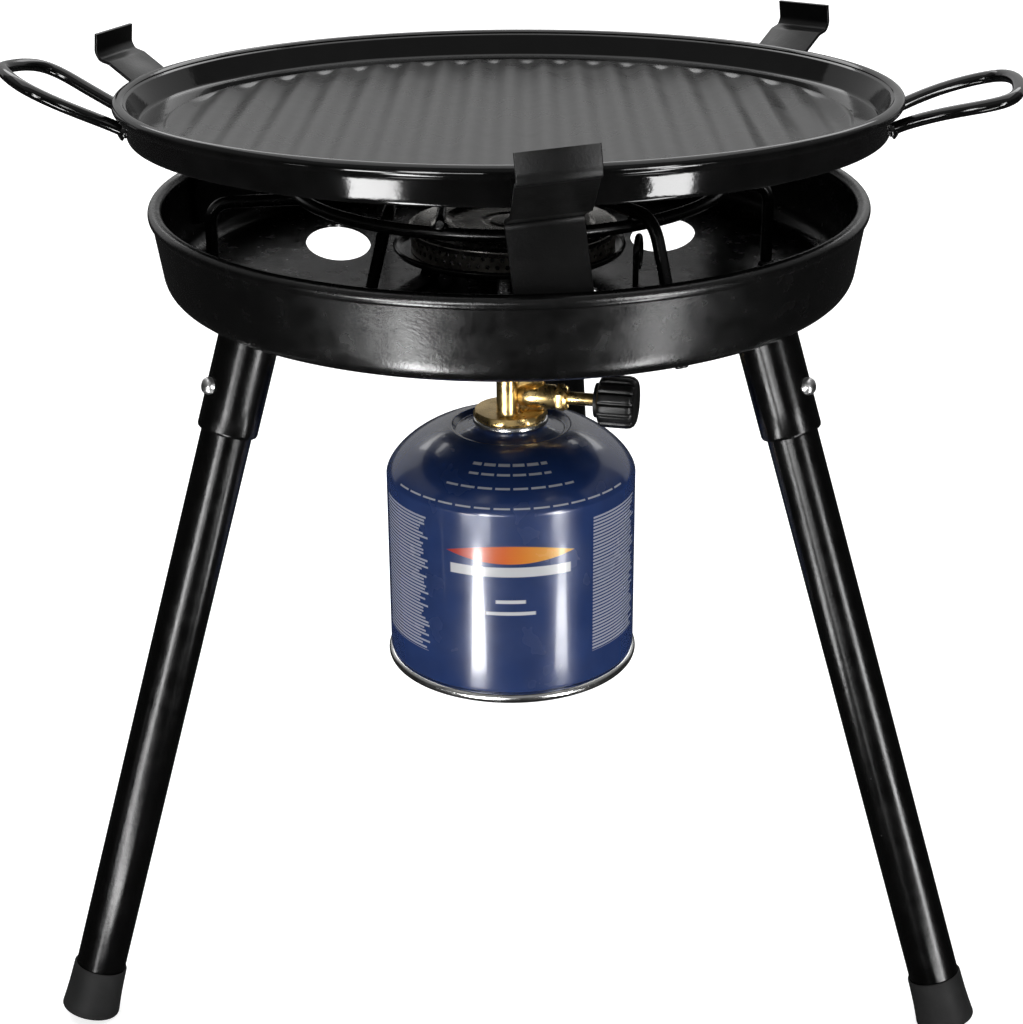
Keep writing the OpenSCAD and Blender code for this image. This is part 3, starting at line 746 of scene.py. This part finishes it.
def burner():
    s = SAUCER
    dish = [(9.8, s + 0.5), (30, s + 0.5), (36.4, s + 4.8), (45.6, s + 5.2),
            (47.6, s + 6.2), (47.9, s + 7.5), (47.2, s + 8.1)]
    revolve("burner_saucer_dish", "burner_saucer", dish, 1.0, "wire_coat", "saucer", 2.0)
    flame_ring()
    z = s + 15.4
    cap = [(0.05, z + 1.3), (9, z + 1.3), (10, z + 0.9), (12, z + 0.9), (13, z + 1.3), (25.5, z + 1.3),
           (27.8, z + 2.6), (31.6, z + 2.6), (33.8, z + 0.6), (41.4, z + 0.5),
           (43.2, z - 0.1), (43.2, z - 2.2)]
    revolve("burner_cap_disc", "burner_cap", cap, 0.9, "stainless", "stainless", 0.9, HEAD)
    # posts and the wire hook
    for name, x, y in (("burner_post_front", -2.1, -41.4), ("burner_post_rear", 4, 41.2)):
        hexa = [(x / 1000 + u, y / 1000 + w) for u, w in hexagon(4)]
        nut = prism(hexa, FLOOR / 1000, (FLOOR + 1.6) / 1000)
        thread = [np.array([x, y, FLOOR + 0.1 + 0.1 * i]) / 1000 for i in range(94)]
        rad = [0.00245 + 0.00012 * math.sin(2 * math.pi * i / 8) for i in range(94)]
        o = link(name + "_stud", *join(nut, tube_mesh(thread, rad, 20, 0.0002)), "zinc", 30)
        place(o, "stand", "zinc", name)
    hook = [(-6.5, FLOOR - 300.5), (-6.5, -2)] + arc(0, 0, 6.5, 6.5, 180, -90, 26)
    pts = turn_z([(54, u, 300.5 + w) for u, w in hook], -11) / 1000
    o = link("burner_hook_wire", *tube_mesh(pts, 0.0013, 14, 0.0003), "wire_coat", 50)
    place(o, "stand", "wire_coat", "burner_hook")


# ---------- valve ----------

STEM_H, STEM_AZ, FLANGE = 236, 347, 225.7


def stem_space(v):
    """Local Z out along the stem from the burner axis."""
    a = math.radians(STEM_AZ)
    m = np.array([[0, math.sin(a), math.cos(a)], [0, -math.cos(a), math.sin(a)], [1, 0, 0]])
    return np.array(v) @ m.T + np.array([0, -0.002, STEM_H / 1000])


def bevelled(name, v, f, mat, width, segments=3, deg=30):
    """Solid with its hard edges rounded by a bevel that is applied to the mesh."""
    o = link(name, v, f, mat, deg)
    mod = o.modifiers.new("round", "BEVEL")
    mod.width = width
    mod.segments = segments
    mod.limit_method = "ANGLE"
    mod.angle_limit = math.radians(deg)
    apply(o, 50)
    return o


def merge(name, objs, mat):
    """One object out of several."""
    parts = []
    for o in objs:
        verts = np.array([v.co[:] for v in o.data.vertices])
        parts.append((verts, [tuple(p.vertices) for p in o.data.polygons]))
        bpy.data.objects.remove(o)
    return link(name, *join(*parts), mat, 40)


def disc(profile, n=64):
    """Turned solid from its outline in mm."""
    return lathe_mesh([(max(r, 0.01) / 1000, z / 1000) for r, z in profile], n)


def hexagon(r):
    a = [math.pi / 3 * i for i in range(6)]
    return [(r / 1000 * math.cos(q), r / 1000 * math.sin(q)) for q in a]


def valve():
    z = FLANGE
    # flange: hexagon with its corners turned off to a cone
    n = 144
    pts = []
    for i in range(n):
        a = 2 * math.pi * i / n
        d = (a - math.radians(8)) % (math.pi / 3) - math.pi / 6
        hexr = 17.4 * math.cos(math.pi / 6) / math.cos(d)
        pts.append((a, min(hexr, 16.0), min(hexr, 15.2)))
    # height, which outline, and how far it is drawn in
    steps = ((z, 1, 0.6), (z + 0.4, 1, 0), (z + 1.7, 1, 0),
             (z + 3.0, 2, 0), (z + 3.0, 2, 4.0), (z + 2.9, 2, 11))
    verts = [((p[k] - shrink) / 1000 * math.cos(p[0]), (p[k] - shrink) / 1000 * math.sin(p[0]), h / 1000)
             for h, k, shrink in steps for p in pts]
    flange = link("v0", verts, loft(len(steps), n) + end_caps(len(steps), n), "brass", 25)
    side = outline([(-5, -4), (15, -4), (15, 8), (-5, 8)])
    block = bevelled("v1", *prism(side, (z + 2.5) / 1000, 0.2585), "brass", 0.0016, 4)
    profile = [(0, z + 2.2), (5.3, z + 2.2), (4.7, z + 2.9), (4.5, z + 4), (4.5, 257), (0, 257)]
    boss = link("v2", *disc(profile, 48), "brass", 40)
    for v in boss.data.vertices:
        v.co.x -= 0.0014
        v.co.y -= 0.0052
    profile = [(0, 249.6), (11.2, 249.6), (12, 250.4), (12, 257.2), (11.2, 258), (0, 258)]
    collar = link("v3", *disc(profile), "brass", 40)
    profile = [(0, 3), (2.4, 3), (4.4, 4.6), (5.2, 8), (5.3, 9), (5.3, 19.2),
               (4.9, 19.8), (4.9, 20.4), (0, 20.4)]
    v, f = disc(profile, 56)
    arm = link("v4", stem_space(v), f, "brass", 40)
    o = merge("valve_body_forging", [flange, block, boss, collar, arm], "brass")
    place(o, "stand", "brass", "valve_body")
    # gland nut: hexagon with turned collar, slotted crown
    hexa = bevelled("g0", *prism(hexagon(6.2), 0.0206, 0.0237), "brass", 0.0004, 2)
    for v in hexa.data.vertices:
        v.co = Vector(stem_space([v.co[:]])[0])
    crown_v = []
    n = 72
    for k, (r, zz) in enumerate(((5.2, 23.5), (5.2, 25.1), (3.9, 25.1), (2.9, 24.6))):
        for i in range(n):
            a = 2 * math.pi * i / n
            low = 0.8 if (i % 12) < 4 and k in (1, 2) else 0
            crown_v.append((r / 1000 * math.cos(a), r / 1000 * math.sin(a), (zz - low) / 1000))
    crown = link("g1", stem_space(crown_v), loft(4, n), "brass", 30)
    o = merge("gland_nut_hex", [hexa, crown], "brass")
    place(o, "stand", "brass", "gland_nut")
    profile = [(0, 14), (2.7, 14), (2.7, 24), (2.75, 25), (2.75, 40.8),
               (2.4, 41.4), (2.2, 41.6), (2.2, 48.6), (0, 48.6)]
    v, f = disc(profile, 40)
    o = link("valve_stem_rod", stem_space(v), f, "brass", 35)
    place(o, "knob", "brass", "valve_stem")


def knob():
    """Fluted grip; each row holds its radius, its height along the stem and how deep the flutes cut."""
    flutes = 14
    n = flutes * 16
    rows = [(6.8, 0, 0), (7.3, 0.1, 0), (7.6, 1.5, 0), (9.4, 2.0, 0), (10.6, 2.6, 0.5), (11.1, 3.6, 1),
            (11.2, 5, 1), (11.2, 14.2, 1), (10.9, 15.8, 0.9), (10.1, 17.0, 0.45), (9.1, 17.6, 0.1),
            (8.5, 17.55, 0), (7.9, 17.2, 0), (0.05, 17.1, 0)]
    verts = []
    for rr, z, w in rows:
        for i in range(n):
            a = 2 * math.pi * i / n
            c = math.cos(flutes * a)
            groove = max(0, c - 0.35) / 0.65
            q = rr - w * 0.85 * groove ** 0.7
            verts.append((q / 1000 * math.cos(a), q / 1000 * math.sin(a), (37 + z) / 1000))
    faces = loft(len(rows), n) + end_caps(len(rows), n)[:1]
    o = link("knob_grip", stem_space(verts), faces, "knob_plastic", 38)
    place(o, "knob", "knob_plastic", "knob")


burner()
valve()
knob()


# ---------- cartridge ----------

def cartridge():
    can_r, t = 54.0, 0.8
    wall = can_r - t / 2
    # shoulder: a superellipse from the neck's groove to the wall
    inner, full = 25.4, 1.333
    dome = [(inner + (wall - inner) * math.sin(a) ** full, 200.8 + 20.6 * max(math.cos(a), 0) ** full)
            for a in np.linspace(math.radians(14), math.pi / 2, 30)]
    groove = [(15.2, 222.1), (19.4, 220.4), (23.6, 219.4), (25.6, 221.4), dome[0]]
    path = [groove[0]] + round_path(groove, [2, 1.6, 1.4], 5)[1:] + dome[1:]
    path += [(wall, 160), (wall, 121.5)]
    path += round_path([(wall, 121.5), (wall, 120.2), (can_r - 1.6, 119.2), (can_r - 1.6, 118.6)], 0.6, 4)[1:]
    o = link("cartridge_can", *lathe_mesh(outline(offset_loop(path, t)), 224), "can_lacquer", 50)
    place(o, "cartridge", "can_lacquer", "cartridge_shell")
    # bottom: rolled seam and a domed end
    z = 114.4
    seam = arc(53.1, z + 2.3, 2.0, 2.2, 120, -150, 26)
    end = [(50.6, z + 2.2), (49.6, z + 3.6), (45, z + 5.4), (34, z + 8.6),
           (18, z + 11.2), (6, z + 12), (0.1, z + 12)]
    back = [(0.1, z + 12.8), (18, z + 12), (34, z + 9.4), (45, z + 6.4), (51.4, z + 4.4)]
    prof = outline(seam + round_path(end, 3, 5) + back)
    o = link("cartridge_bottom", *lathe_mesh(prof, 224), "tin", 50)
    place(o, "cartridge", "tin", "cartridge_base")
    # neck cup with its threaded tube, which the flange hides
    z = 222.5
    lip = [(13.5, z - 0.1), (15.6, z - 0.1), (16.3, z + 1.2),
           (15.9, z + 2.7), (14.6, z + 3.1), (5.56, z + 3.1)]
    neck = [(5.56, z + 10.6), (5.1, z + 11), (2.1, z + 11), (2.1, z + 0.5), (13.3, z + 0.9)]
    prof = outline(round_path(lip, [0.6, 1.0, 0.9, 0.8], 6) + neck)
    o = link("cartridge_neck", *lathe_mesh(prof, 128), "tin", 35)
    place(o, "cartridge", "tin", "cartridge_cup")


cartridge()


# ---------- legs ----------

SOCKET_H = 245.5
BUTTON_H = 262


def on_leg(v, az, lean, reach):
    """From a leg's own frame, Z up along the tube and the foot at 0, to the part's frame."""
    c, q = math.cos(-lean), math.sin(-lean)
    m = np.array([[c, 0, q], [0, 1, 0], [-q, 0, c]])
    return turn_z(np.array(v) @ m.T + np.array([reach / 1000, 0, 0]), az)


def leg(name, az, lean, reach):
    """One leg: socket, tube, foot and snap button; reach is the foot's distance from the axis, mm."""
    lean = math.radians(lean)
    lr, n = 10.15, 96
    ang = [2 * math.pi * i / n for i in range(n)]

    def put(v):
        return on_leg(np.array(v) / 1000, az, lean, reach)

    # socket: lower mouth with a rounded edge, top cut to the bowl's underside
    h0 = SOCKET_H / math.cos(lean)
    outer = [(lr + 0.05, h0 + 1.0), (lr + 0.5, h0 + 0.15), (lr + 1.1, h0), (lr + 1.6, h0 + 0.4),
             (lr + 1.9, h0 + 1.3), (lr + 1.9, h0 + 12)]
    verts = [(r * math.cos(a), r * math.sin(a), z) for r, z in outer for a in ang]
    top = UNDER - 0.05
    for r in (lr + 1.9, lr + 0.05):
        verts += [(r * math.cos(a), r * math.sin(a),
                   (top - r * math.cos(a) * math.sin(lean)) / math.cos(lean)) for a in ang]
    rings = len(outer) + 2
    faces = loft(rings, n) + bridge((rings - 1) * n, 0, n)
    o = link(f"leg_socket_{name}_sleeve", put(verts), faces, "leg_coat", 50)
    place(o, "stand", "leg_coat", f"leg_socket_{name}")
    # tube
    wall = [(lr - 1.2, 6), (lr, 6), (lr, 60), (lr, 290.8), (lr, 291.6), (lr - 0.4, 292), (lr - 1.2, 292)]
    v, f = lathe_mesh(wall, n)
    o = link(f"leg_tube_{name}_pipe", put(v), f, "leg_coat", 50)
    place(o, "stand", "leg_coat", f"leg_tube_{name}")
    # foot: thin moulded cap, square at the end, worn flat where the inner edge meets the floor
    prof = [(lr, 22.6), (lr + 0.25, 22.9), (lr + 0.55, 22.9), (lr + 0.8, 22.4), (lr + 0.95, 16),
            (lr + 1.1, 12), (lr + 1.35, 8), (lr + 1.6, 5), (lr + 1.75, 3.4), (lr + 1.7, 2.8),
            (lr + 1.4, 2.3), (lr + 0.9, 2.2), (8, 2.2), (4, 2.2), (0.05, 2.2)]
    verts = [(r * math.cos(a), r * math.sin(a), max(z, -r * math.cos(a) * math.tan(lean)))
             for r, z in prof for a in ang]
    faces = [g[::-1] for g in loft(len(prof), n)]
    o = link(f"foot_{name}_cap", put(verts), faces, "rubber", 45)
    place(o, "stand", "rubber", f"foot_{name}")
    # snap button: domed pin on a flange inside the tube, its length along the leg's own X
    pin = [(0.05, 6.7), (3.45, 6.7), (3.5, 12.4), (3.3, 13.6), (2.7, 14.4), (1.7, 14.9), (0.05, 15.05)]
    flange = [(0.05, 4.6), (4.6, 4.6), (4.6, 6.7), (0.05, 6.7)]
    v, f = join(lathe_mesh(outline(pin), 48), lathe_mesh(outline(flange), 48))
    w = np.stack([v[:, 2], v[:, 1], -v[:, 0] + BUTTON_H / 1000 / math.cos(lean)], 1)
    o = link(f"button_{name}_pin", on_leg(w, az, lean, reach), f, "zinc", 40)
    place(o, f"button_{name}", "zinc", f"button_{name}")


leg("left", 212.4, 17.95, 211.5)
leg("right", 326.1, 19.0, 218.3)
leg("rear", 80.3, 18.4, 214.0)


# ---------- studio ----------

def area(name, loc, target, size, radiance, spread=180, diffuse=True):
    """Soft box: width and height in metres, brightness per area, spread in degrees."""
    l = bpy.data.lights.new(name, "AREA")
    l.shape = "RECTANGLE"
    l.size, l.size_y = size
    l.energy = radiance * math.pi * size[0] * size[1]
    l.spread = math.radians(spread)
    o = bpy.data.objects.new(name, l)
    scene.collection.objects.link(o)
    o.location = loc
    o.rotation_euler = (Vector(target) - Vector(loc)).to_track_quat("-Z", "Y").to_euler()
    o.visible_camera = False
    o.visible_diffuse = diffuse
    return o


def low_card(name, x, y, heading, size, radiance):
    """Soft box lying at floor level, shining up; its length runs along heading, degrees from -Y to +X."""
    o = area(name, (x, y, 0.004), (x, y, 1), size, radiance, diffuse=False)
    o.rotation_euler = (math.pi, 0, math.radians(heading))


def studio():
    w = bpy.data.worlds.new("studio")
    scene.world = w
    w.use_nodes = True
    nt = w.node_tree
    # dark low down, dim overhead
    tc = nt.nodes.new("ShaderNodeTexCoord")
    sep = nt.nodes.new("ShaderNodeSeparateXYZ")
    nt.links.new(tc.outputs["Generated"], sep.inputs["Vector"])
    sky = ramp(nt, sep.outputs["Z"], [(0.1, 0.02), (0.5, 0.3)])
    nt.links.new(sky, nt.nodes["Background"].inputs["Color"])
    nt.nodes["Background"].inputs["Strength"].default_value = 1.0
    area("backdrop", (0, 3.0, 1.6), (0, 0, 1.6), (8.0, 3.0), 0.42)
    area("ceiling", (0, 0.6, 2.8), (0, 0.5, 0), (4.0, 3.0), 1.6)
    area("strip_left", (-0.83, -1.98, 0.0), (-0.15, -0.1, 0.1), (0.34, 1.1), 1.0, 40, False)
    area("strip_right", (1.44, -1.63, 0.0), (0.15, -0.1, 0.1), (0.34, 1.1), 0.8, 40, False)
    area("leg_left", (-0.6, -1.98, 0.12), (-0.13, -0.09, 0.15), (0.8, 0.34), 11, diffuse=False)
    area("leg_right", (1.3, -1.7, 0.17), (0.13, -0.1, 0.17), (0.5, 0.4), 12, diffuse=False)
    area("back_high", (0, 2.6, 2.2), (0, 0, 0.36), (4.0, 1.2), 2.5, diffuse=False)
    low_card("can_left", -0.2026, -0.370, -30.6, (0.07, 0.26), 34)
    low_card("can_right", 0.294, -0.300, 47.4, (0.06, 0.26), 18)
    low_card("bowl_left", -0.602, -0.811, -39.4, (0.2, 0.5), 34)
    low_card("bowl_right", 0.718, -0.705, 49, (0.18, 0.5), 30)
    low_card("pan_left", -1.26, -0.83, -59.5, (0.14, 0.4), 5)
    low_card("pan_right", 1.21, -0.9, 56, (0.12, 0.4), 6)
    bm = bmesh.new()
    bmesh.ops.create_grid(bm, x_segments=1, y_segments=1, size=40)
    me = bpy.data.meshes.new("floor")
    bm.to_mesh(me)
    bm.free()
    floor = bpy.data.objects.new("floor", me)
    scene.collection.objects.link(floor)
    floor.visible_glossy = False
    floor.visible_shadow = False
    m, nt, b, _ = new_mat("floor")
    b.inputs["Base Color"].default_value = (0.8, 0.8, 0.8, 1)
    b.inputs["Roughness"].default_value = 0.7
    b.inputs["Emission Color"].default_value = (1, 1, 1, 1)
    b.inputs["Emission Strength"].default_value = 0.8
    me.materials.append(m)
    scene.view_settings.view_transform = "Standard"
    scene.view_settings.look = "None"


studio()
